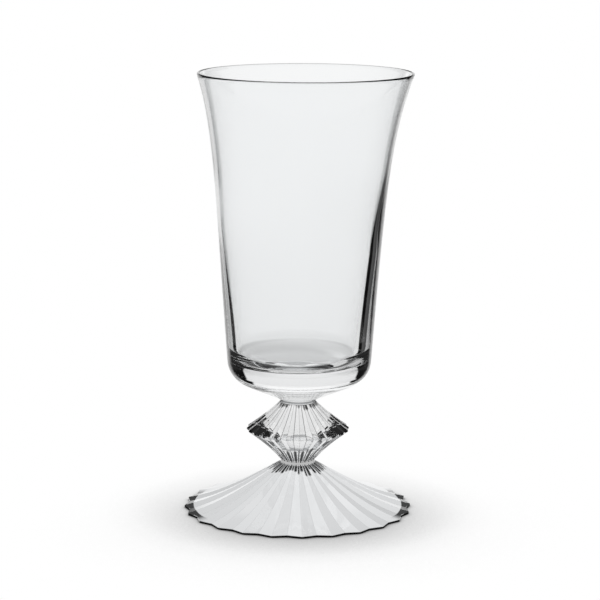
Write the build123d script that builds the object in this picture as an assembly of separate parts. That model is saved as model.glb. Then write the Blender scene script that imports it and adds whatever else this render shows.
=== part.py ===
from build123d import *
import math
import os

# Water goblet in clear pressed glass: bowl, bowl collar, pleated knop, foot collar, pleated foot.
# Millimetres, +Z up, origin on the table at the centre of the foot. A pleat ridge faces the front, -Y.

# Heights from the table up; the knop has one above and one below the middle of its edge
foot_height = 18.6
foot_collar_height = 2.0
knop_lower_height = 12.0
knop_upper_height = 11.1
bowl_collar_height = 1.2
bowl_height = 131.1

# Collars and the flat seats that they are melted to
collar_radius = 6.9
collar_rounding = 0.45
seat_margin = 0.3

# Pleats, shared by knop and foot so that their ridges line up
pleat_count = 24

# Foot: a flared, pleated cone with a hollow under it that leaves a flat ring to stand on
foot_radius = 45.8
foot_pleat_depth = 1.8
foot_edge_height = 0.8
foot_sag = 0.52
foot_sag_power = 1.3
foot_wall = 2.4
rest_ring_width = 2.2
rest_ring_rounding = 0.4
hollow_height = 13.0
hollow_shares = (0.72, 0.48)

# Knop: two pleated cones, base to base, with a narrow upright edge between them
knop_radius = 20.6
knop_pleat_depth = 0.6
knop_edge_height = 0.6
knop_lower_sag = 0.26
knop_upper_sag = 0.2

# Bowl: a shallow cone under a tall wall that flares to the rim
heel_radius = 28.4
heel_height = 9.5
heel_rounding = 10.5
rim_radius = 43.0
flare_share = 0.4
flare_power = 6

# Inside of the bowl: the wall thickens downwards to a heavy base
lip_thickness = 1.2
lip_rounding_share = 0.45
heel_wall = 5.6
wall_fade = 0.4
wall_fade_power = 1.6
base_thickness = 15.5
floor_dish = 1.6
floor_rounding = 10.0

# Levels of the seams between the pieces
foot_top = foot_height
knop_bottom = foot_top + foot_collar_height
knop_middle = knop_bottom + knop_lower_height
knop_top = knop_middle + knop_upper_height
bowl_bottom = knop_top + bowl_collar_height
rim_level = bowl_bottom + bowl_height

# Widths of the flat seats: the pleat valleys there stand just outside the collars
seat_radius = collar_radius + seat_margin
knop_end_radius = seat_radius / (1 - knop_pleat_depth / knop_radius)
foot_top_radius = seat_radius / (1 - foot_pleat_depth / foot_radius)

# How finely the curved profiles are followed, and how near counts as the same place
foot_shares = (0.0, 0.2, 0.4, 0.6, 0.8, 1.0)
knop_shares = (0.0, 0.25, 0.5, 0.75, 1.0)
wall_steps = 8
same_place = 0.001


def star_face(radius, depth, level):
    """Flat star at one height: a ridge and a valley for every pleat."""
    points = []
    for corner in range(2 * pleat_count):
        turn = math.pi * corner / pleat_count
        reach = radius - depth * (corner % 2)
        points.append((reach * math.sin(turn), -reach * math.cos(turn)))
    outline = Polyline(*points, close=True)
    return Pos(0, 0, level) * make_face(outline)


def turned(edges):
    """Solid of revolution about the goblet's axis, from a closed half section."""
    return revolve(Plane.XZ * make_face(edges), Axis.Z)


def rounded(solid, radius, level, amount):
    """Round the circular edges that have this radius and lie at this height."""
    chosen = []
    for edge in solid.edges().filter_by(GeomType.CIRCLE):
        at_level = abs(edge.arc_center.Z - level) < same_place
        if at_level and abs(edge.radius - radius) < same_place:
            chosen.append(edge)
    return fillet(chosen, amount)


def foot_level(share):
    """Height of a foot ridge at a share of the way from collar to edge: a cone that sags outwards."""
    rise = (1 - share) * (1 - foot_sag * share ** foot_sag_power)
    return foot_edge_height + (foot_height - foot_edge_height) * rise


def make_foot():
    """Pleated skin lofted through stars, on an upright edge, with the hollow taken out below."""
    depth_ratio = foot_pleat_depth / foot_radius
    spread = foot_radius - foot_top_radius
    stars = []
    for share in foot_shares:
        radius = foot_top_radius + spread * share
        stars.append(star_face(radius, radius * depth_ratio, foot_level(share)))
    skin = loft(stars)
    edge = extrude(star_face(foot_radius, foot_pleat_depth, 0), foot_edge_height)

    # The hollow runs under the valleys, one wall below them, and domes over at the axis.
    hollow_radius = foot_radius - foot_pleat_depth - rest_ring_width
    route = [(hollow_radius, 0)]
    for share in hollow_shares:
        radius = share * hollow_radius
        ridge_radius = radius / (1 - depth_ratio)
        valley_level = foot_level((ridge_radius - foot_top_radius) / spread)
        route.append((radius, valley_level - foot_wall))
    route.append((0, hollow_height))
    dome = Spline(*route, tangents=((route[1][0] - route[0][0], route[1][1]), (-1, 0)))
    floor = Line((0, 0), route[0])
    axis = Line(route[-1], (0, 0))
    hollow = turned([floor, dome, axis])
    foot = skin + edge - hollow
    return rounded(foot, hollow_radius, 0, rest_ring_rounding)


def knop_ring(share, sag):
    """Ridge radius at a share of the way from the knop's edge to a collar."""
    drop = share * (1 + sag * (1 - share))
    return knop_radius - (knop_radius - knop_end_radius) * drop


def make_knop():
    """Two lofts through stars, one down and one up from the upright edge."""
    depth_ratio = knop_pleat_depth / knop_radius
    edge_bottom = knop_middle - knop_edge_height / 2
    edge_top = knop_middle + knop_edge_height / 2
    knop = extrude(star_face(knop_radius, knop_pleat_depth, edge_bottom), knop_edge_height)
    cones = ((edge_bottom, knop_bottom, knop_lower_sag), (edge_top, knop_top, knop_upper_sag))
    for start, end, sag in cones:
        stars = []
        for share in knop_shares:
            radius = knop_ring(share, sag)
            level = start + (end - start) * share
            stars.append(star_face(radius, radius * depth_ratio, level))
        knop = knop + loft(stars)
    return knop


def make_collar(bottom, height):
    """Plain disc with a softened edge."""
    disc = Pos(0, 0, bottom) * Cylinder(
        collar_radius, height, align=(Align.CENTER, Align.CENTER, Align.MIN)
    )
    return fillet(disc.edges().filter_by(GeomType.CIRCLE), collar_rounding)


def outer_radius(share):
    """Outside of the wall at a share of the way from heel to rim."""
    flare = (1 - flare_share) * share + flare_share * share ** flare_power
    return heel_radius + (rim_radius - heel_radius) * flare


def wall_thickness(share):
    """Wall at the same place: thick at the heel, fading to the thickness of the lip."""
    return lip_thickness + (heel_wall - lip_thickness) * math.exp(-((share / wall_fade) ** wall_fade_power))


def make_bowl():
    """Half section of a line, a flared wall, the lip, the inner wall and the dished floor."""
    heel_level = bowl_bottom + heel_height
    floor_level = bowl_bottom + base_thickness
    wall_height = rim_level - heel_level
    floor_share = (floor_level - heel_level) / wall_height
    outside = []
    inside = []
    for step in range(wall_steps + 1):
        share = step / wall_steps
        outside.append((outer_radius(share), heel_level + wall_height * share))
        share = floor_share + (1 - floor_share) * step / wall_steps
        inside.append((outer_radius(share) - wall_thickness(share), heel_level + wall_height * share))
    inside.reverse()

    middle = (0, floor_level - floor_dish)
    corner = inside[-1]
    seat = Line((0, bowl_bottom), (seat_radius, bowl_bottom))
    cone = Line((seat_radius, bowl_bottom), outside[0])
    outer_wall = Spline(*outside)
    lip = Line(outside[-1], inside[0])
    inner_wall = Spline(*inside)
    floor = TangentArc(middle, corner, tangent=(1, 0))
    axis = Line(middle, (0, bowl_bottom))
    bowl = turned([seat, cone, outer_wall, lip, inner_wall, floor, axis])

    bowl = rounded(bowl, heel_radius, heel_level, heel_rounding)
    bowl = rounded(bowl, corner[0], floor_level, floor_rounding)
    lip_rounding = lip_rounding_share * lip_thickness
    bowl = rounded(bowl, rim_radius, rim_level, lip_rounding)
    return rounded(bowl, inside[0][0], rim_level, lip_rounding)


os.makedirs("parts", exist_ok=True)

export_step(make_foot(), "parts/foot.step")
export_step(make_collar(foot_top, foot_collar_height), "parts/foot_collar.step")
export_step(make_knop(), "parts/knop.step")
export_step(make_collar(knop_top, bowl_collar_height), "parts/bowl_collar.step")
export_step(make_bowl(), "parts/bowl.step")
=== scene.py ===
import bpy
import math
import numpy as np
from mathutils import Matrix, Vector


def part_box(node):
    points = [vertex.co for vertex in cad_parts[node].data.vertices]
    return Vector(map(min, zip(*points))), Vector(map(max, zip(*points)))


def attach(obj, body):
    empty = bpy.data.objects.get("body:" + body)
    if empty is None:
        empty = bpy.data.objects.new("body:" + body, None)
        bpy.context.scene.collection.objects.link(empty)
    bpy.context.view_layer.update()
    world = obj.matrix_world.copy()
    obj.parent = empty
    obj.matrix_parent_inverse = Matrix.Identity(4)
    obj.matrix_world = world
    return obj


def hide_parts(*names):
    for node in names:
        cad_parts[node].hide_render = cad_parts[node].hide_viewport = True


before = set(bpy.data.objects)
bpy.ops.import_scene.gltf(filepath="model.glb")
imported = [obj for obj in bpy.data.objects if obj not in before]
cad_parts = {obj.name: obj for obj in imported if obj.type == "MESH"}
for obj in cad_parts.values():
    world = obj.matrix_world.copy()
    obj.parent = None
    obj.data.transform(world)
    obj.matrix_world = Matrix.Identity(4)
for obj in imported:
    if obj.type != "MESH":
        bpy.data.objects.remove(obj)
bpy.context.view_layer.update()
mm = 0.001
print("frame loaded:", ", ".join(sorted(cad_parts)))

# pleats run in step on knop and foot; ridges are at even corners, valleys at odd ones
pleats = {
    "count": 24,
    "sharpness": 0.9985,       # 1 would be a knife edge
    "stops": (0, 0.02, 0.045, 0.08, 0.14, 0.3, 0.5, 0.7, 0.86, 0.92, 0.955, 0.98),
    "lineCore": 0.4,           # share of a painted dark fold's half width that is fully dark
    "edgeFade": 1.5,           # edge heights at which the painted shade of a dark edge has faded out
}
roundSteps = 288               # points round the plain turned pieces
creaseAngle = 38               # degrees; an edge that is sharper is not shaded smooth
weldRadius = 6.4 * mm          # the flat where neighbouring pieces are melted together


# node box as bottom height, top height and outer radius
def nodeSpan(node):
    low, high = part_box(node)
    return low.z, high.z, high.x


# arc of n points, tangent to both legs of the corner a, b, c
def roundCorner(a, b, c, radius, n):
    a, b, c = (np.asarray(p, float) for p in (a, b, c))
    toA = (a - b) / np.linalg.norm(a - b)
    toC = (c - b) / np.linalg.norm(c - b)
    half = 0.5 * math.acos(float(np.clip(toA @ toC, -1, 1)))
    centre = b + (toA + toC) / np.linalg.norm(toA + toC) * radius / math.sin(half)
    start = b + toA * radius / math.tan(half) - centre
    end = b + toC * radius / math.tan(half) - centre
    turn = math.pi - 2 * half
    t = np.linspace(0, 1, n)[:, None]
    return centre + (np.sin((1 - t) * turn) * start + np.sin(t * turn) * end) / math.sin(turn)


# straight run of n points from a to b, ends left out
def between(a, b, n):
    t = np.linspace(0, 1, n + 2)[1:-1, None]
    return np.asarray(a, float) * (1 - t) + np.asarray(b, float) * t


# grid of a plain turned form: the profile's radius at every angle
def turnedGrid(profile):
    angles = np.arange(roundSteps) * 2 * math.pi / roundSteps
    return np.repeat(profile[:, :1], roundSteps, 1), angles


# angles of the pleated grid: the stops in every half pleat, close together near ridges and valleys
def pleatAngles():
    stops = np.array(pleats["stops"])
    halves = np.arange(2 * pleats["count"])[:, None]
    return ((halves + stops[None]) * math.pi / pleats["count"]).ravel()


# radius over a grid: each ring runs straight from ridge to valley, softened at both by an arcsine wave
# ridge is the ridge radius of each ring, depth the pleat depth as a share of it, star 0 for a round ring
def pleatedRadius(ridge, depth, star, angles):
    pitch = math.pi / pleats["count"]
    fold = np.abs((angles / pitch + 1) % 2 - 1)
    k = pleats["sharpness"]
    across = (0.5 - np.arcsin(k * np.cos(math.pi * fold)) / (2 * math.asin(k))) * pitch
    ridge, star = ridge[:, None], star[:, None]
    valley = ridge * (1 - depth)
    chord = ridge * valley * math.sin(pitch) / (ridge * np.sin(across) + valley * np.sin(pitch - across))
    return ridge + (chord - ridge) * star


# closed skin from rings stacked along a profile, with a pole at each end
# x = r sin a, y = -r cos a, so angle 0 is the front; faces point outwards when the profile starts underneath
# the first cap is a weld, and so are the first weldRows rows of faces and, with weldEnd, the last cap
def ringSkin(name, radius, height, angles, startPole, endPole, weldRows=0, weldEnd=True, aside=0.0):
    rings, around = radius.shape
    points = np.empty((rings, around, 3))
    aside = np.broadcast_to(aside, rings)
    points[..., 0] = radius * np.sin(angles) + aside[:, None]
    points[..., 1] = -radius * np.cos(angles)
    points[..., 2] = height[:, None]
    poles = np.array([[aside[0], 0, startPole], [aside[-1], 0, endPole]])
    here = np.arange(around)
    beside = (here + 1) % around
    row = np.arange(rings - 1)[:, None] * around
    corners = [row + here, row + beside, row + around + beside, row + around + here]
    quads = np.stack(corners, -1).reshape(-1, 4)
    first, last = rings * around, rings * around + 1
    top = (rings - 1) * around
    under = np.stack([np.full(around, first), beside, here], -1)
    over = np.stack([top + here, top + beside, np.full(around, last)], -1)
    mesh = bpy.data.meshes.new(name)
    allPoints = np.concatenate([points.reshape(-1, 3), poles])
    mesh.from_pydata(allPoints.tolist(), [], quads.tolist() + under.tolist() + over.tolist())
    slots = np.zeros(len(mesh.polygons), dtype=np.int32)
    slots[:weldRows * around] = 1
    slots[len(quads):len(quads) + around] = 1
    slots[len(quads) + around:] = int(weldEnd)
    mesh.polygons.foreach_set("material_index", slots)
    mesh.polygons.foreach_set("use_smooth", np.ones(len(mesh.polygons), dtype=bool))
    mesh.set_sharp_from_angle(angle=math.radians(creaseAngle))
    mesh.update()
    piece = bpy.data.objects.new(name, mesh)
    bpy.context.scene.collection.objects.link(piece)
    return piece


# normals of the turned form without its pleats: the profile's tangent (dr, dz) gives (dz, -dr)
def plainNormals(piece, profile, angles):
    tangent = np.gradient(profile, axis=0)
    tangent /= np.linalg.norm(tangent, axis=1)[:, None]
    out, up = tangent[:, 1:], -tangent[:, :1]
    grid = np.stack([out * np.sin(angles), -out * np.cos(angles), np.repeat(up, len(angles), 1)], -1)
    poles = np.array([[0, 0, -1], [0, 0, 1]])
    plain = np.concatenate([grid.reshape(-1, 3), poles])
    attribute = piece.data.attributes.new("plainNormal", "FLOAT_VECTOR", "POINT")
    attribute.data.foreach_set("vector", plain.ravel())


# link a source to a socket, or set the socket where the source is a plain value
def feed(links, slot, source):
    if isinstance(source, bpy.types.NodeSocket):
        links.new(source, slot)
    else:
        slot.default_value = source


# Math node fed by sockets or numbers
def mathNode(nodes, links, operation, *sources):
    node = nodes.new("ShaderNodeMath")
    node.operation = operation
    for slot, source in zip(node.inputs, sources):
        feed(links, slot, source)
    return node.outputs[0]


# a Mix node's places for first, last and result, by the kind of data
mixPlaces = {"FLOAT": (2, 3, 0), "VECTOR": (4, 5, 1), "RGBA": (6, 7, 2)}


# Mix node: first where a mask is 0, last where it is 1
def mixNode(nodes, links, kind, mask, first, last):
    node = nodes.new("ShaderNodeMix")
    node.data_type = kind
    firstPlace, lastPlace, resultPlace = mixPlaces[kind]
    links.new(mask, node.inputs["Factor"])
    feed(links, node.inputs[firstPlace], first)
    feed(links, node.inputs[lastPlace], last)
    return node.outputs[resultPlace]


# Mix Shader node, in the same way
def mixShader(nodes, links, mask, first, last):
    node = nodes.new("ShaderNodeMixShader")
    for slot, source in zip(node.inputs, (mask, first, last)):
        links.new(source, slot)
    return node.outputs[0]


# soft step from 0 to 1 as a value passes a limit; a negative softness steps down
def softStep(nodes, links, value, limit, soft):
    step = nodes.new("ShaderNodeMapRange")
    step.interpolation_type = "SMOOTHSTEP"
    links.new(value, step.inputs["Value"])
    step.inputs["From Min"].default_value = limit - soft
    step.inputs["From Max"].default_value = limit + soft
    return step.outputs["Result"]


# 1 where a count along the light's path has reached a number, else 0
def atLeast(nodes, links, count, number):
    return mathNode(nodes, links, "GREATER_THAN", count, number - 0.5)


# melted glass: clear, with faint upright streaks from the flow of the melt and a few fine scuffs
glassLook = {
    "tint": (0.966, 0.974, 0.978, 1),
    "ior": 1.52,
    "streakScale": (45, 45, 6), "streakDepth": 0.03 * mm,
    "scuffScale": 700, "scuffFrom": 0.7, "scuffTo": 0.8, "scuffRough": 0.03,
}


# height of the streaks from a soft noise drawn out upwards, roughness of the scuffs from a fine one's peaks
def makeMeltMap():
    group = bpy.data.node_groups.new("meltMap", "ShaderNodeTree")
    group.interface.new_socket("Scuff Roughness", in_out="INPUT", socket_type="NodeSocketFloat")
    group.interface.new_socket("Height", in_out="OUTPUT", socket_type="NodeSocketFloat")
    group.interface.new_socket("Roughness", in_out="OUTPUT", socket_type="NodeSocketFloat")
    nodes, links = group.nodes, group.links
    given = nodes.new("NodeGroupInput").outputs
    result = nodes.new("NodeGroupOutput")
    place = nodes.new("ShaderNodeTexCoord").outputs["Object"]
    stretch = nodes.new("ShaderNodeMapping")
    stretch.inputs["Scale"].default_value = glassLook["streakScale"]
    links.new(place, stretch.inputs["Vector"])
    streaks = nodes.new("ShaderNodeTexNoise")
    streaks.inputs["Scale"].default_value = 1
    streaks.inputs["Detail"].default_value = 1
    links.new(stretch.outputs[0], streaks.inputs["Vector"])
    links.new(streaks.outputs["Fac"], result.inputs["Height"])
    scuffs = nodes.new("ShaderNodeTexNoise")
    scuffs.inputs["Scale"].default_value = glassLook["scuffScale"]
    links.new(place, scuffs.inputs["Vector"])
    peaks = nodes.new("ShaderNodeMapRange")
    links.new(scuffs.outputs["Fac"], peaks.inputs["Value"])
    peaks.inputs["From Min"].default_value = glassLook["scuffFrom"]
    peaks.inputs["From Max"].default_value = glassLook["scuffTo"]
    rough = mathNode(nodes, links, "MULTIPLY", peaks.outputs["Result"], given["Scuff Roughness"])
    links.new(rough, result.inputs["Roughness"])
    return group


# shader set as clear glass, its roughness and bump from the melt; gives back the bumped normal
def setGlass(nodes, links):
    shader = nodes["Principled BSDF"]
    shader.inputs["Metallic"].default_value = 0
    shader.inputs["Transmission Weight"].default_value = 1
    shader.inputs["IOR"].default_value = glassLook["ior"]
    melt = nodes.new("ShaderNodeGroup")
    melt.node_tree = meltMap
    melt.inputs["Scuff Roughness"].default_value = glassLook["scuffRough"]
    links.new(melt.outputs["Roughness"], shader.inputs["Roughness"])
    bump = nodes.new("ShaderNodeBump")
    bump.inputs["Distance"].default_value = glassLook["streakDepth"]
    links.new(melt.outputs["Height"], bump.inputs["Height"])
    return bump.outputs["Normal"]


def makeGlass():
    material = bpy.data.materials.new("clearGlass")
    material.use_nodes = True
    nodes, links = material.node_tree.nodes, material.node_tree.links
    shader = nodes["Principled BSDF"]
    shader.inputs["Base Color"].default_value = glassLook["tint"]
    links.new(setGlass(nodes, links), shader.inputs["Normal"])
    return material


# painted shade of a point by its place on its pleat, from its angle round the axis in half pleats: dark
# folds painted at the valleys and, narrower, at the ridges, darker and wider at the neck near the axis; one
# flank of each pleat painted a little darker, the bottom edge painted dark and the whole piece painted
# darker; what a look leaves out is off
def makePleatShadeMap():
    group = bpy.data.node_groups.new("pleatShadeMap", "ShaderNodeTree")
    slots = (
        "Width", "Ridge Share", "Fold Shade", "Neck Width", "Neck Shade", "Neck From", "Neck To", "Neck Spread",
        "Low Level", "Low Extra", "Clear Level", "Clear Half", "Flank Shade", "Edge Shade", "Edge Height",
        "Body Shade",
    )
    for slot in slots:
        group.interface.new_socket(slot, in_out="INPUT", socket_type="NodeSocketFloat")
    group.interface.new_socket("Tone", in_out="OUTPUT", socket_type="NodeSocketColor")
    nodes, links = group.nodes, group.links
    given = nodes.new("NodeGroupInput").outputs
    result = nodes.new("NodeGroupOutput")
    split = nodes.new("ShaderNodeSeparateXYZ")
    links.new(nodes.new("ShaderNodeTexCoord").outputs["Object"], split.inputs[0])
    x, y, z = split.outputs
    front = mathNode(nodes, links, "MULTIPLY", y, -1.0)
    pitch = math.pi / pleats["count"]
    turn = mathNode(nodes, links, "DIVIDE", mathNode(nodes, links, "ARCTAN2", x, front), pitch)
    reach = mathNode(nodes, links, "MULTIPLY_ADD", x, x, mathNode(nodes, links, "MULTIPLY", y, y))
    reach = mathNode(nodes, links, "SQRT", reach)

    # value that goes from first to last as a source passes from low to high
    def ramp(source, low, high, first, last, smooth=True):
        node = nodes.new("ShaderNodeMapRange")
        node.interpolation_type = "SMOOTHSTEP" if smooth else "LINEAR"
        names = ("Value", "From Min", "From Max", "To Min", "To Max")
        for name, value in zip(names, (source, low, high, first, last)):
            feed(links, node.inputs[name], value)
        return node.outputs["Result"]

    # every fold has its own length of painted dark neck, longer under a level
    uneven = nodes.new("ShaderNodeTexWhiteNoise")
    uneven.noise_dimensions = "1D"
    links.new(mathNode(nodes, links, "ROUND", turn), uneven.inputs["W"])
    own = mathNode(nodes, links, "SUBTRACT", uneven.outputs["Value"], 0.5)
    longer = mathNode(nodes, links, "MULTIPLY", own, given["Neck Spread"])
    under = mathNode(nodes, links, "LESS_THAN", z, given["Low Level"])
    longer = mathNode(nodes, links, "MULTIPLY_ADD", under, given["Low Extra"], longer)
    near = mathNode(nodes, links, "SUBTRACT", reach, longer)
    width = ramp(near, given["Neck From"], given["Neck To"], given["Neck Width"], given["Width"])
    dark = ramp(near, given["Neck From"], given["Neck To"], given["Neck Shade"], given["Fold Shade"])
    # painted dark line by the distance from the nearest fold
    fold = mathNode(nodes, links, "PINGPONG", turn, 1.0)
    fromValley = mathNode(nodes, links, "SUBTRACT", 1.0, fold)
    fromRidge = mathNode(nodes, links, "DIVIDE", fold, given["Ridge Share"])
    nearest = mathNode(nodes, links, "MINIMUM", fromValley, fromRidge)
    gap = mathNode(nodes, links, "MULTIPLY", nearest, mathNode(nodes, links, "MULTIPLY", reach, pitch))
    gap = mathNode(nodes, links, "DIVIDE", gap, width)
    line = ramp(gap, pleats["lineCore"], 1.0, dark, 1.0)
    # clear band, where no dark line is painted
    fromBand = mathNode(nodes, links, "SUBTRACT", z, given["Clear Level"])
    fromBand = mathNode(nodes, links, "ABSOLUTE", fromBand)
    band = mathNode(nodes, links, "LESS_THAN", fromBand, given["Clear Half"])
    line = mathNode(nodes, links, "MAXIMUM", line, band)
    # painted shade on one flank, and the edge at the bottom painted dark
    side = mathNode(nodes, links, "LESS_THAN", mathNode(nodes, links, "WRAP", turn, 2.0, 0.0), 1.0)
    flank = ramp(side, 0.0, 1.0, 1.0, given["Flank Shade"], False)
    tone = mathNode(nodes, links, "MULTIPLY", line, flank)
    # the bottom edge painted dark, fading out upwards
    fadeEnd = mathNode(nodes, links, "MULTIPLY", given["Edge Height"], pleats["edgeFade"])
    edge = ramp(z, given["Edge Height"], fadeEnd, given["Edge Shade"], 1.0)
    tone = mathNode(nodes, links, "MULTIPLY", tone, edge)
    # the whole piece painted darker as plain shade
    links.new(mathNode(nodes, links, "MULTIPLY", tone, given["Body Shade"]), result.inputs["Tone"])
    return group


# pleated glass: rays that leave through a far pleat are bent as by the plain form, so that far pleats do not
# break up the near ones; on the near ones dark folds are painted as shade, seen by camera rays only
def makePleatedGlass(name, look):
    material = bpy.data.materials.new(name)
    material.use_nodes = True
    nodes, links = material.node_tree.nodes, material.node_tree.links
    shader = nodes["Principled BSDF"]
    near = setGlass(nodes, links)
    folds = nodes.new("ShaderNodeGroup")
    folds.node_tree = pleatShadeMap
    for slot in look:
        folds.inputs[slot].default_value = look[slot]
    # the painted shade is the colour that camera rays see; other rays see the clear tint
    seen = nodes.new("ShaderNodeLightPath").outputs["Is Camera Ray"]
    colour = mixNode(nodes, links, "RGBA", seen, glassLook["tint"], folds.outputs["Tone"])
    links.new(colour, shader.inputs["Base Color"])
    leaving = nodes.new("ShaderNodeNewGeometry").outputs["Backfacing"]
    plain = nodes.new("ShaderNodeAttribute")
    plain.attribute_name = "plainNormal"
    inward = nodes.new("ShaderNodeVectorMath")
    inward.operation = "SCALE"
    links.new(plain.outputs["Vector"], inward.inputs[0])
    inward.inputs["Scale"].default_value = -1
    normal = mixNode(nodes, links, "VECTOR", leaving, near, inward.outputs[0])
    links.new(normal, shader.inputs["Normal"])
    return material


# seams between pieces, and the underside of the foot: light goes straight on
def makeWeld():
    material = bpy.data.materials.new("weldedThrough")
    material.use_nodes = True
    shader = material.node_tree.nodes["Principled BSDF"]
    shader.inputs["Base Color"].default_value = glassLook["tint"]
    shader.inputs["Transmission Weight"].default_value = 1
    shader.inputs["IOR"].default_value = glassLook["ior"]
    shader.inputs["Alpha"].default_value = 0
    return material


meltMap = makeMeltMap()
pleatShadeMap = makePleatShadeMap()
glass = makeGlass()
weld = makeWeld()


# what every piece needs: its materials, its body, the node that it replaces and its material slot
def settle(piece, node, material=glass):
    piece.data.materials.append(material)
    piece.data.materials.append(weld)
    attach(piece, "root")
    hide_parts(node)
    print("made", piece.name, len(piece.data.polygons), "faces")


bowl = {
    "seatRadius": 7.2 * mm, "seatRounding": 0.5 * mm,
    "heelRadius": 28.4 * mm, "heelHeight": 9.5 * mm, "heelRounding": 10.5 * mm,
    "flareShare": 0.4, "flarePower": 6,
    "lip": 1.2 * mm, "lipRounding": 0.55 * mm,
    "lipCorner": 0.22 * mm,    # how far the lip's corner stood out before it was rounded
    "heelWall": 5.8 * mm, "wallFade": 0.4, "wallFadePower": 1.6,
    "base": 15.3 * mm, "dish": 1.7 * mm, "floorRounding": 8.2 * mm,
    # legs of the rounded corners: shares of the wall, and of the floor's rounding and dish
    "heelLeg": 0.08, "lipLeg": 0.985, "floorLeg": 0.06, "floorRun": 1.6, "floorFall": 0.5,
    # hand work: set a little off the stem, leaning towards the rim, the bore off centre in its lower part
    "setOff": 0.4 * mm, "setOffBy": 0.08, "lean": 2.0 * mm, "leanPower": 3,
    "boreOff": -0.9 * mm, "boreTo": 0.72, "boreFade": 0.25,
    "steps": {"seat": 6, "cone": 12, "heel": 22, "wall": 92, "lip": 9, "floor": 22, "dish": 16},
}


# share runs from heel to rim; the outside is part straight taper, part a steep power of share
def bowlOutside(share, rim):
    flare = (1 - bowl["flareShare"]) * share + bowl["flareShare"] * share ** bowl["flarePower"]
    return bowl["heelRadius"] + (rim - bowl["heelRadius"]) * flare


# wall thickness falls from heel to lip as exp(-(share / fade) ^ power)
def bowlWall(share):
    fade = np.exp(-((share / bowl["wallFade"]) ** bowl["wallFadePower"]))
    return bowl["lip"] + (bowl["heelWall"] - bowl["lip"]) * fade


# the profile runs from the seat up the outside, over the lip, down the inside and in along the floor
def makeBowl():
    bottom, top, reach = nodeSpan("bowl")
    steps = bowl["steps"]
    rim = reach + bowl["lipCorner"]
    heel = bottom + bowl["heelHeight"]
    floor = bottom + bowl["base"]
    floorShare = (floor - heel) / (top - heel)

    def outsidePoint(share):
        return np.stack([bowlOutside(share, rim), heel + (top - heel) * share], -1)

    def insidePoint(share):
        return np.stack([bowlOutside(share, rim) - bowlWall(share), heel + (top - heel) * share], -1)

    def shareAt(point):
        return (point[1] - heel) / (top - heel)

    seatCorner = np.array([bowl["seatRadius"], bottom])
    heelCorner = outsidePoint(0.0)
    heelLeg = outsidePoint(bowl["heelLeg"])
    seatArc = roundCorner((0, bottom), seatCorner, heelCorner, bowl["seatRounding"], steps["seat"])
    heelArc = roundCorner(seatCorner, heelCorner, heelLeg, bowl["heelRounding"], steps["heel"])
    cone = between(seatArc[-1], heelArc[0], steps["cone"])
    rimOuter, rimInner = outsidePoint(1.0), insidePoint(1.0)
    outerLeg, innerLeg = outsidePoint(bowl["lipLeg"]), insidePoint(bowl["lipLeg"])
    outerLip = roundCorner(outerLeg, rimOuter, rimInner, bowl["lipRounding"], steps["lip"])
    innerLip = roundCorner(rimOuter, rimInner, innerLeg, bowl["lipRounding"], steps["lip"])
    floorCorner = insidePoint(floorShare)
    wallLeg = insidePoint(floorShare + bowl["floorLeg"])
    floorRun = np.array([bowl["floorRounding"] * bowl["floorRun"], bowl["dish"] * bowl["floorFall"]])
    floorLeg = floorCorner - floorRun
    floorArc = roundCorner(wallLeg, floorCorner, floorLeg, bowl["floorRounding"], steps["floor"])
    outerShares = np.linspace(shareAt(heelArc[-1]), shareAt(outerLip[0]), steps["wall"])[1:-1]
    innerShares = np.linspace(shareAt(innerLip[-1]), shareAt(floorArc[0]), steps["wall"])[1:-1]
    # the dish runs in to the middle on a parabola
    inward = np.linspace(1, 0, steps["dish"])[1:-1]
    dishEdge = floorArc[-1]
    middle = floor - bowl["dish"]
    dish = np.stack([dishEdge[0] * inward, middle + (dishEdge[1] - middle) * inward ** 2], -1)
    outerWall, innerWall = outsidePoint(outerShares), insidePoint(innerShares)
    outer = [[[weldRadius, bottom]], seatArc, cone, heelArc, outerWall, outerLip, innerLip[1:]]
    inner = [innerWall, floorArc, dish]
    profile = np.concatenate(outer + inner)
    radius, angles = turnedGrid(profile)
    rise = (profile[:, 1] - bottom) / (top - bottom)
    lean = bowl["lean"] * rise ** bowl["leanPower"]
    setOff = bowl["setOff"] * np.clip(rise / bowl["setOffBy"], 0, 1)
    inside = np.arange(len(profile)) >= sum(len(part) for part in outer)
    fade = np.clip((bowl["boreTo"] - rise) / bowl["boreFade"], 0, 1)
    boreOff = inside * bowl["boreOff"] * fade * fade * (3 - 2 * fade)
    aside = lean + setOff + boreOff
    piece = ringSkin("gobletBowl", radius, profile[:, 1], angles, bottom, middle, weldEnd=False, aside=aside)
    settle(piece, "bowl")


collar = {
    "rounding": 0.45 * mm, "roundingSteps": 8, "wallSteps": 2,
    # the lower one has the dark folds of its neighbours painted on as shade, but for a clear band
    "look": {
        "Width": 0.45 * mm, "Ridge Share": 0.4, "Fold Shade": 0, "Flank Shade": 1, "Body Shade": 1,
        "Edge Shade": 1, "Neck Width": 0.45 * mm, "Neck Shade": 0, "Neck From": 8 * mm, "Neck To": 9 * mm,
        "Clear Level": 19.5 * mm, "Clear Half": 0.45 * mm,
    },
}


# a plain disc with both its edges rounded
def makeCollar(name, node, material=glass):
    bottom, top, reach = nodeSpan(node)
    rounding, steps = collar["rounding"], collar["roundingSteps"]
    lower = roundCorner((0, bottom), (reach, bottom), (reach, top), rounding, steps)
    upper = roundCorner((reach, bottom), (reach, top), (0, top), rounding, steps)
    wall = between(lower[-1], upper[0], collar["wallSteps"])
    profile = np.concatenate([[[weldRadius, bottom]], lower, wall, upper, [[weldRadius, top]]])
    radius, angles = turnedGrid(profile)
    piece = ringSkin(name, radius, profile[:, 1], angles, bottom, top)
    plainNormals(piece, profile, angles)
    settle(piece, node, material)


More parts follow.
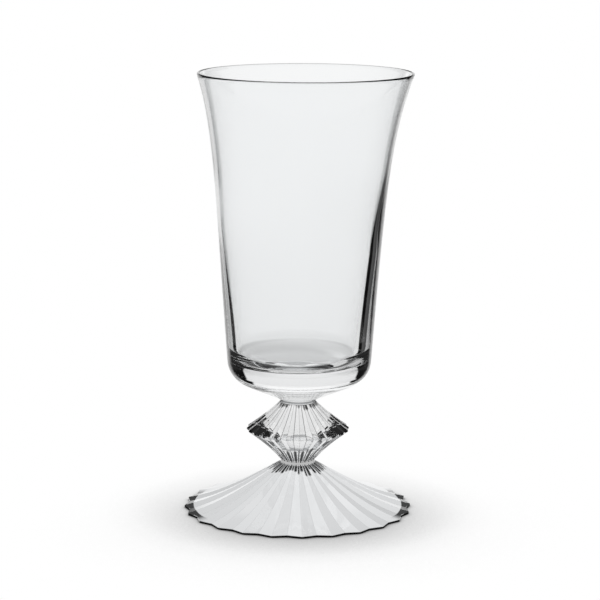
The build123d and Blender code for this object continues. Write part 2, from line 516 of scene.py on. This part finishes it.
knop = {
    "pleatDepth": 0.6 / 20.6,      # share of the ridge radius
    "lowerShare": 12.0 / 23.1,     # share of the height that is under the middle of the edge
    "edge": 0.6 * mm, "lowerSag": 0.26, "upperSag": 0.2, "seatRadius": 7.2 * mm,
    "coneSteps": 42, "edgeSteps": 3,
    # painted shade: dark folds and neck, one flank darker and the whole knop darker
    "look": {
        "Width": 0.2 * mm, "Ridge Share": 0.4, "Fold Shade": 0.1, "Flank Shade": 0.94, "Body Shade": 0.76,
        "Edge Shade": 1, "Neck Width": 1.0 * mm, "Neck Shade": 0, "Neck From": 7.6 * mm, "Neck To": 8.6 * mm,
        "Neck Spread": 2.4 * mm, "Low Level": 32 * mm, "Low Extra": 5.0 * mm,
    },
}


# each cone narrows from the edge to the seat, a little hollow along its length
def makeKnop():
    bottom, top, reach = nodeSpan("knop")
    seat = knop["seatRadius"] / (1 - knop["pleatDepth"])
    share = np.linspace(1, 0, knop["coneSteps"])
    middle = bottom + (top - bottom) * knop["lowerShare"]
    sides = []
    for end, side, sag in ((bottom, -1, knop["lowerSag"]), (top, 1, knop["upperSag"])):
        cone = reach - (reach - seat) * share * (1 + sag * (1 - share))
        start = middle + side * knop["edge"] / 2
        sides.append(np.stack([cone, start + (end - start) * share], -1))
    lower, upper = sides[0], sides[1][::-1]
    edge = between(lower[-1], upper[0], knop["edgeSteps"])
    profile = np.concatenate([[[weldRadius, bottom]], lower, edge, upper, [[weldRadius, top]]])
    star = np.ones(len(profile))
    star[[0, -1]] = 0
    angles = pleatAngles()
    radius = pleatedRadius(profile[:, 0], knop["pleatDepth"], star, angles)
    piece = ringSkin("gobletKnop", radius, profile[:, 1], angles, bottom, top)
    plainNormals(piece, profile, angles)
    settle(piece, "knop", makePleatedGlass("knopGlass", knop["look"]))


foot = {
    "pleatDepth": 1.8 / 45.8,      # share of the ridge radius
    "edge": 0.8 * mm, "sag": 0.52, "sagPower": 1.3, "seatRadius": 7.2 * mm,
    "ring": 2.2 * mm, "ringRounding": 0.4 * mm, "hollow": 13.0 * mm, "hollowShape": 0.78,
    "steps": {"skin": 64, "edge": 4, "hollow": 44, "rounding": 8, "ring": 3},
    # painted shade: faint fold lines, a dark neck, one flank darker, a dark bottom edge and the whole foot
    # darker
    "look": {
        "Width": 0.25 * mm, "Ridge Share": 0.6, "Fold Shade": 0.85, "Flank Shade": 0.82, "Body Shade": 0.9,
        "Neck Width": 0.95 * mm, "Neck Shade": 0, "Neck From": 10.7 * mm, "Neck To": 11.7 * mm,
        "Neck Spread": 3.4 * mm, "Edge Shade": 0, "Edge Height": 0.55 * mm,
    },
}


# the profile runs from the hollow over the flat ring and the upright edge to the top, a sagging cone
def makeFoot():
    bottom, top, reach = nodeSpan("foot")
    steps = foot["steps"]
    seat = foot["seatRadius"] / (1 - foot["pleatDepth"])
    share = np.linspace(1, 0, steps["skin"])
    sagged = 1 - foot["sag"] * share ** foot["sagPower"]
    level = foot["edge"] + (top - bottom - foot["edge"]) * (1 - share) * sagged
    skin = np.stack([seat + (reach - seat) * share, bottom + level], -1)
    edge = between((reach, bottom), skin[0], steps["edge"])
    # the hollow's height falls from the axis to the ring as (1 - x^2)(1 - shape x^2)
    ringInner = reach * (1 - foot["pleatDepth"]) - foot["ring"]
    x = np.linspace(0, 1, steps["hollow"])[1:]
    depth = foot["hollow"] * (1 - x ** 2) * (1 - foot["hollowShape"] * x ** 2)
    hollow = np.stack([ringInner * x, bottom + depth], -1)
    corner = (reach, bottom)
    ringArc = roundCorner(hollow[-3], hollow[-1], corner, foot["ringRounding"], steps["rounding"])
    ring = between(ringArc[-1], corner, steps["ring"])
    under = np.concatenate([hollow[:-2], ringArc])
    profile = np.concatenate([under, ring, [corner], edge, skin, [[weldRadius, top]]])
    # the hollow is round, the ring goes over to the pleats
    star = np.ones(len(profile))
    star[:len(under)] = 0
    star[len(under):len(under) + len(ring)] = np.linspace(0, 1, len(ring) + 2)[1:-1]
    star[-1] = 0
    angles = pleatAngles()
    radius = pleatedRadius(profile[:, 0], foot["pleatDepth"], star, angles)
    roof, underRows = bottom + foot["hollow"], len(under) + len(ring)
    piece = ringSkin("gobletFoot", radius, profile[:, 1], angles, roof, top, weldRows=underRows)
    plainNormals(piece, profile, angles)
    settle(piece, "foot", makePleatedGlass("footGlass", foot["look"]))


makeFoot()
makeCollar("footCollar", "foot_collar", makePleatedGlass("footCollarGlass", collar["look"]))
makeKnop()
makeCollar("bowlCollar", "bowl_collar")
makeBowl()


# studio: a wide white floor, a white surround and a few dark screens that show only in the glass
studio = {
    "floorSize": 12.0, "floorGap": 0.1 * mm, "floorColour": (0.9, 0.9, 0.9, 1),
    "shadowReach": 70 * mm, "shadowLean": (0, 0.45, 0.9),
    "shadowFrom": 0.43, "shadowTo": 0.993, "shadowDark": 0.0,
    # the floor under the foot as it shows in the glass, in painted shadow, and where that painted shade is
    # darker
    "underRadius": 47 * mm, "underTone": (0.84, 0.85, 0.86, 1),
    "ringFrom": 41.8 * mm, "ringSoft": 0.2 * mm, "ringTone": 0.06, "ringBeside": 0.45, "besideSoft": 0.08,
    "middleRadius": 38 * mm, "middleSoft": 4 * mm, "middleTone": 0.48, "middleSteep": 0.9,
    "turnedFrom": 21 * mm, "turnedSoft": 2 * mm, "turnedTone": 0.14,
    # the fewest surfaces that light has passed after one wall, and after more glass than that
    "wallPasses": 2, "farPasses": 3,
    # the fewest times that light was turned back to count as often, and as all along an edge
    "oftenTurns": 2, "edgeTurns": 7,
    # the surround is a little darker low down
    "groundFrom": -45, "groundTo": -4, "groundTone": 0.7,
    # a screen is azimuth (0 behind the goblet, 90 to its right), half width at its foot, lowest and highest
    # elevation, softness of its edges, darkness and how much it narrows for each degree up
    "direct": (
        (73, 41, 2, 25, 1.5, 1.0, 0.9), (-59, 25, 4, 25, 1.5, 1.0, 0.9),
        (0, 200, -90, -31.5, 2.5, 0.26, 0), (0, 200, 4, 90, 3, 0.14, 0),
    ),
    "once": (
        (41, 6, -32, -10, 1.5, 1.0, 0), (28, 8, -32, -10, 1.5, 0.87, 0), (-37, 6.5, -32, -10, 2, 1.0, 0),
        (60, 28, 0, 13, 1.5, 1.0, 0), (-60, 28, 0, 13, 1.5, 1.0, 0),
        (0, 34, -51, -33, 4, 0.86, 0), (0, 34, -33, -24, 4, 0.5, 0), (0, 30, -24, -6, 5, 0.25, 0),
    ),
    "often": (
        (0, 200, -90, 58, 6, 0.45, 0), (106, 70, -90, 46, 4, 0.97, 0), (-106, 70, -90, 46, 4, 0.97, 0),
    ),
    "edge": ((0, 200, -90, 46, 3, 0.98, 0),),
    "mirror": (
        (108, 74, -90, 25, 6, 0.95, 0), (-108, 74, -90, 25, 6, 0.95, 0), (0, 200, 10, 55, 4, 0.9, 0),
    ),
}


# how much light comes up from a point of the floor under the foot
def underLight(nodes, links, path, spot, reach):
    # hardly any from under the foot's ring at its left and right
    split = nodes.new("ShaderNodeSeparateXYZ")
    links.new(spot, split.inputs[0])
    beside = mathNode(nodes, links, "DIVIDE", split.outputs["Y"], reach)
    beside = mathNode(nodes, links, "ABSOLUTE", beside)
    beside = softStep(nodes, links, beside, studio["ringBeside"], -studio["besideSoft"])
    ring = softStep(nodes, links, reach, studio["ringFrom"], studio["ringSoft"])
    ring = mathNode(nodes, links, "MULTIPLY", ring, beside)
    # less from the middle, steeply up the stem into the bowl
    far = atLeast(nodes, links, path["Transmission Depth"], studio["farPasses"])
    slope = nodes.new("ShaderNodeSeparateXYZ")
    links.new(nodes.new("ShaderNodeNewGeometry").outputs["Incoming"], slope.inputs[0])
    steep = mathNode(nodes, links, "GREATER_THAN", slope.outputs["Z"], studio["middleSteep"])
    middle = softStep(nodes, links, reach, studio["middleRadius"], -studio["middleSoft"])
    middle = mathNode(nodes, links, "MULTIPLY", middle, far)
    middle = mathNode(nodes, links, "MULTIPLY", middle, steep)
    # little of what is then turned back under the floor of the bowl
    turned = mathNode(nodes, links, "MULTIPLY", far, atLeast(nodes, links, path["Glossy Depth"], 1))
    beyond = softStep(nodes, links, reach, studio["turnedFrom"], studio["turnedSoft"])
    turned = mathNode(nodes, links, "MULTIPLY", turned, beyond)
    light = 1.0
    for mask, tone in ((ring, "ringTone"), (middle, "middleTone"), (turned, "turnedTone")):
        shade = mathNode(nodes, links, "MULTIPLY_ADD", mask, studio[tone] - 1, 1.0)
        light = mathNode(nodes, links, "MULTIPLY", light, shade)
    return light


# white with the goblet's soft shadow; glass shows the floor under the foot and, beyond it, the surround
def makeFloorLook():
    material = bpy.data.materials.new("studioFloor")
    material.use_nodes = True
    nodes, links = material.node_tree.nodes, material.node_tree.links
    path = nodes.new("ShaderNodeLightPath").outputs
    matte = nodes["Principled BSDF"]
    matte.inputs["Base Color"].default_value = studio["floorColour"]
    matte.inputs["Roughness"].default_value = 1
    matte.inputs["Specular IOR Level"].default_value = 0
    near = nodes.new("ShaderNodeAmbientOcclusion")
    near.inputs["Distance"].default_value = studio["shadowReach"]
    lean = nodes.new("ShaderNodeCombineXYZ")
    for slot, value in zip(lean.inputs, studio["shadowLean"]):
        slot.default_value = value
    links.new(lean.outputs[0], near.inputs["Normal"])
    shade = nodes.new("ShaderNodeMapRange")
    shade.inputs["From Min"].default_value = studio["shadowFrom"]
    shade.inputs["From Max"].default_value = studio["shadowTo"]
    shade.inputs["To Min"].default_value = studio["shadowDark"]
    links.new(near.outputs["AO"], shade.inputs["Value"])
    white = nodes.new("ShaderNodeEmission")
    links.new(shade.outputs["Result"], white.inputs["Color"])
    seen = mathNode(nodes, links, "MAXIMUM", path["Is Camera Ray"], path["Is Glossy Ray"])
    seen = mathNode(nodes, links, "MAXIMUM", seen, path["Is Transmission Ray"])
    plain = mixShader(nodes, links, seen, matte.outputs[0], white.outputs[0])

    spot = nodes.new("ShaderNodeTexCoord").outputs["Object"]
    length = nodes.new("ShaderNodeVectorMath")
    length.operation = "LENGTH"
    links.new(spot, length.inputs[0])
    reach = length.outputs["Value"]
    # seen through the glass, the floor under the foot glows grey: the foot's painted shadow
    glow = nodes.new("ShaderNodeEmission")
    glow.inputs["Color"].default_value = studio["underTone"]
    links.new(underLight(nodes, links, path, spot, reach), glow.inputs["Strength"])
    clear = nodes.new("ShaderNodeBsdfTransparent")
    under = mathNode(nodes, links, "LESS_THAN", reach, studio["underRadius"])
    through = mixShader(nodes, links, under, clear.outputs[0], glow.outputs[0])
    both = mixShader(nodes, links, path["Is Transmission Ray"], plain, through)
    links.new(both, nodes["Material Output"].inputs["Surface"])
    return material


def makeFloor():
    half = studio["floorSize"] / 2
    corners = np.array([[-half, -half], [half, -half], [half, half], [-half, half]])
    points = np.column_stack([corners, np.full(4, -studio["floorGap"])])
    mesh = bpy.data.meshes.new("studioFloor")
    mesh.from_pydata(points.tolist(), [], [(0, 1, 2, 3)])
    mesh.materials.append(makeFloorLook())
    floor = bpy.data.objects.new("studioFloor", mesh)
    bpy.context.scene.collection.objects.link(floor)
    floor.visible_glossy = False


# the surround is white by direction, less every screen: inside its width and between its elevations
def makeWorld():
    world = bpy.data.worlds.new("studioWorld")
    bpy.context.scene.world = world
    world.use_nodes = True
    nodes, links = world.node_tree.nodes, world.node_tree.links
    split = nodes.new("ShaderNodeSeparateXYZ")
    links.new(nodes.new("ShaderNodeTexCoord").outputs["Generated"], split.inputs[0])
    x, y, z = split.outputs
    level = mathNode(nodes, links, "MULTIPLY_ADD", x, x, mathNode(nodes, links, "MULTIPLY", y, y))
    level = mathNode(nodes, links, "SQRT", level)
    elevation = mathNode(nodes, links, "DEGREES", mathNode(nodes, links, "ARCTAN2", z, level))
    ground = nodes.new("ShaderNodeMapRange")
    links.new(elevation, ground.inputs["Value"])
    ground.inputs["From Min"].default_value = studio["groundFrom"]
    ground.inputs["From Max"].default_value = studio["groundTo"]
    ground.inputs["To Min"].default_value = studio["groundTone"]
    ground = ground.outputs["Result"]

    # the ground less the screens of one list
    def lessScreens(screens):
        bright = ground
        for azimuth, halfWidth, low, high, soft, dark, taper in screens:
            turn = math.radians(azimuth)
            along = mathNode(nodes, links, "MULTIPLY", x, math.sin(turn))
            along = mathNode(nodes, links, "MULTIPLY_ADD", y, math.cos(turn), along)
            away = mathNode(nodes, links, "ARCCOSINE", mathNode(nodes, links, "DIVIDE", along, level))
            away = mathNode(nodes, links, "DEGREES", away)
            if taper:
                raised = mathNode(nodes, links, "SUBTRACT", elevation, low)
                away = mathNode(nodes, links, "MULTIPLY_ADD", raised, taper, away)
            cover = softStep(nodes, links, away, halfWidth, -soft)
            cover = mathNode(nodes, links, "MULTIPLY", cover, softStep(nodes, links, elevation, low, soft))
            cover = mathNode(nodes, links, "MULTIPLY", cover, softStep(nodes, links, elevation, high, -soft))
            shade = mathNode(nodes, links, "MULTIPLY_ADD", cover, -dark, 1.0)
            bright = mathNode(nodes, links, "MULTIPLY", bright, shade)
        return bright

    # light that was turned back inside the glass has its own screens: once, often, or all along an edge;
    # light turned back once across the hollow of the bowl has none
    path = nodes.new("ShaderNodeLightPath").outputs
    turns, passes = path["Glossy Depth"], path["Transmission Depth"]
    inside = atLeast(nodes, links, passes, studio["wallPasses"])
    across = atLeast(nodes, links, passes, studio["farPasses"])
    once = mixNode(nodes, links, "FLOAT", across, lessScreens(studio["once"]), ground)
    often, edge = lessScreens(studio["often"]), lessScreens(studio["edge"])
    bright = lessScreens(studio["direct"])
    for fewest, screened in ((1, once), (studio["oftenTurns"], often), (studio["edgeTurns"], edge)):
        mask = mathNode(nodes, links, "MULTIPLY", inside, atLeast(nodes, links, turns, fewest))
        bright = mixNode(nodes, links, "FLOAT", mask, bright, screened)
    # so has light that only glances off the outside
    entered = atLeast(nodes, links, passes, 1)
    bright = mixNode(nodes, links, "FLOAT", entered, lessScreens(studio["mirror"]), bright)
    inGlass = mathNode(nodes, links, "MAXIMUM", path["Is Glossy Ray"], path["Is Transmission Ray"])
    shown = mixNode(nodes, links, "FLOAT", inGlass, 1.0, bright)
    links.new(shown, nodes["Background"].inputs["Strength"])
    nodes["Background"].inputs["Color"].default_value = (1, 1, 1, 1)


# camera fitted to the rim and foot ellipses of the photograph
view = {
    "distance": 900.6 * mm, "height": 256.0 * mm, "pitch": 10.74, "roll": 0.3, "turn": -2.4,
    "focalPixels": 2295.8, "framePixels": 600, "sensor": 36.0, "aside": 0.58 * mm, "farClip": 50.0,
}


def makeCamera():
    data = bpy.data.cameras.new("studioCamera")
    data.sensor_width = view["sensor"]
    data.lens = view["sensor"] * view["focalPixels"] / view["framePixels"]
    data.clip_end = view["farClip"]
    camera = bpy.data.objects.new("studioCamera", data)
    bpy.context.scene.collection.objects.link(camera)
    place = Matrix.Rotation(math.radians(view["turn"]), 4, "Z")
    place @= Matrix.Translation((view["aside"], -view["distance"], view["height"]))
    place @= Matrix.Rotation(math.radians(90 - view["pitch"]), 4, "X")
    place @= Matrix.Rotation(math.radians(view["roll"]), 4, "Z")
    camera.matrix_world = place
    bpy.context.scene.camera = camera


makeFloor()
makeWorld()
makeCamera()
bounces = 32                   # light is turned many times in the heel and the pleats
scene = bpy.context.scene
scene.view_settings.view_transform = "Standard"
scene.cycles.max_bounces = bounces
scene.cycles.transmission_bounces = bounces
scene.cycles.glossy_bounces = bounces
scene.cycles.transparent_max_bounces = bounces
print("studio ready")
